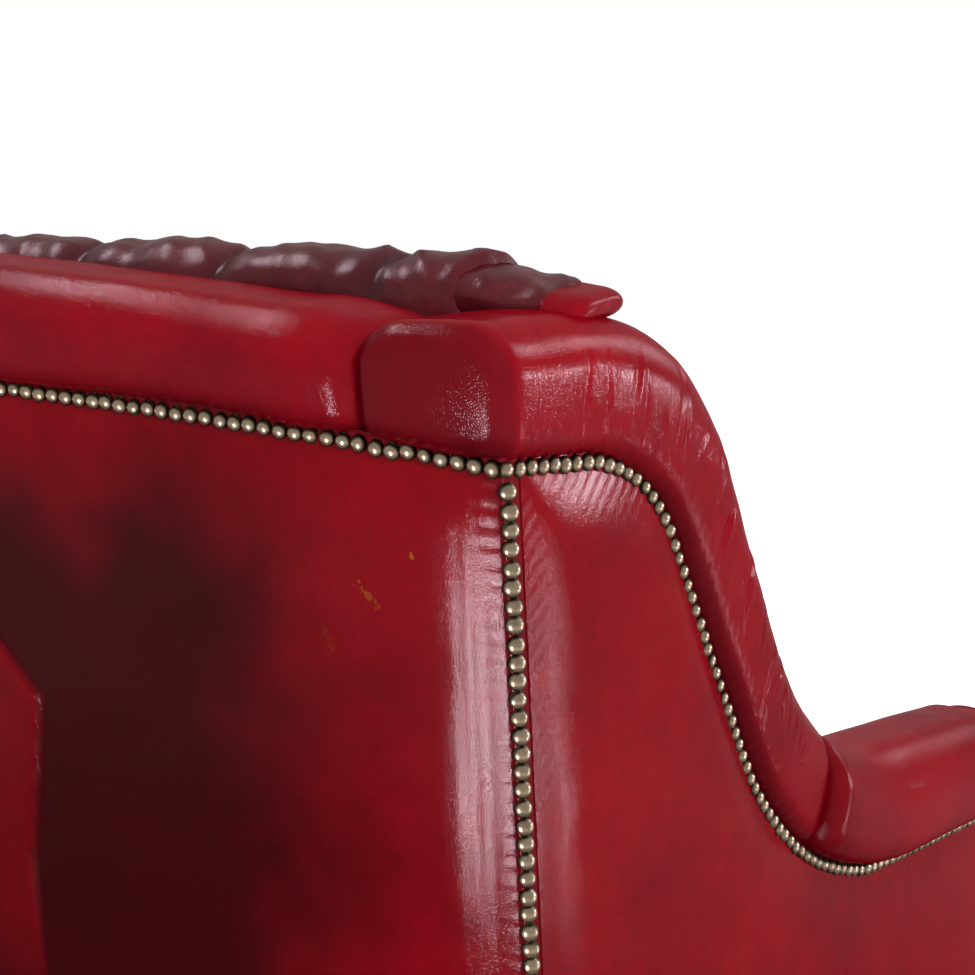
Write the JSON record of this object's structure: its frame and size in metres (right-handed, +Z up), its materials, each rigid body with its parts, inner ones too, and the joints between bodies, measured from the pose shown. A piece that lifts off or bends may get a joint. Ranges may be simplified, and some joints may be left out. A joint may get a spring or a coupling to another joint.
{
  "type": "leather sofa",
  "caption": "High-back wing sofa in nailed leather, with padded rolls over the back, wings and arms, a deep-buttoned inner back, loose seat cushions and turned-out legs.",
  "frame": {"origin": "on the floor, under the middle of the sofa's bounding box", "axes": "+X across the sofa, to the right as seen from the front; -Y towards the front; +Z up"},
  "size_m": [1.6602, 0.8282, 1.0716],
  "materials": {
    "red_leather": "glossy oxblood hide",
    "tufted_leather": "darker glossy hide",
    "antique_brass": "dull antique brass",
    "mahogany": "polished dark mahogany",
    "beech": "raw beech",
    "jute": "plain woven jute",
    "deck_felt": "plain platform cloth",
    "black_cambric": "plain black cloth",
    "steel": "plain steel"
  },
  "bodies": {
    "sofa": {"arm_facing_left": "red_leather", "arm_facing_right": "red_leather", "arm_post_left": "beech", "arm_post_right": "beech", "arm_rail_left": "beech", "arm_rail_right": "beech", "arm_roll_left": "red_leather", "arm_roll_right": "red_leather", "back_buttons": "tufted_leather", "back_post_left": "beech", "back_post_right": "beech", "back_rail": "beech", "back_roll": "red_leather", "back_webbing": "jute", "centre_stretcher": "beech", "corner_blocks": "beech", "crest_rail": "beech", "dust_cover": "black_cambric", "frame_screws": "steel", "front_border": "red_leather", "front_leg_centre": "mahogany", "front_leg_left": "mahogany", "front_leg_right": "mahogany", "front_rail": "beech", "glides": "steel", "inside_arm_left": "red_leather", "inside_arm_right": "red_leather", "inside_back": "tufted_leather", "inside_wing_left": "red_leather", "inside_wing_right": "red_leather", "lower_back_rail": "beech", "nails_back": "antique_brass", "nails_base": "antique_brass", "nails_corner_left": "antique_brass", "nails_corner_right": "antique_brass", "nails_facing_left": "antique_brass", "nails_facing_right": "antique_brass", "nails_side_left": "antique_brass", "nails_side_right": "antique_brass", "outside_arm_left": "red_leather", "outside_arm_right": "red_leather", "outside_back": "red_leather", "rear_leg_centre": "mahogany", "rear_leg_left": "mahogany", "rear_leg_right": "mahogany", "seat_deck": "deck_felt", "seat_hessian": "jute", "seat_springs": "steel", "seat_webbing": "jute", "side_rail_left": "beech", "side_rail_right": "beech", "wing_frame_left": "beech", "wing_frame_right": "beech", "wing_roll_left": "red_leather", "wing_roll_right": "red_leather"},
    "cushion_left": {"seat_cushion_left": "red_leather", "cushion_piping_left": "red_leather"},
    "cushion_right": {"seat_cushion_right": "red_leather", "cushion_piping_right": "red_leather"}
  },
  "joints": [
    {"name": "cushion_left_lift", "type": "slide", "parent": "sofa", "child": "cushion_left", "axis": [0, 0, 1], "range_m": [0, 0.25]},
    {"name": "cushion_right_lift", "type": "slide", "parent": "sofa", "child": "cushion_right", "axis": [0, 0, 1], "range_m": [0, 0.25]}
  ]
}
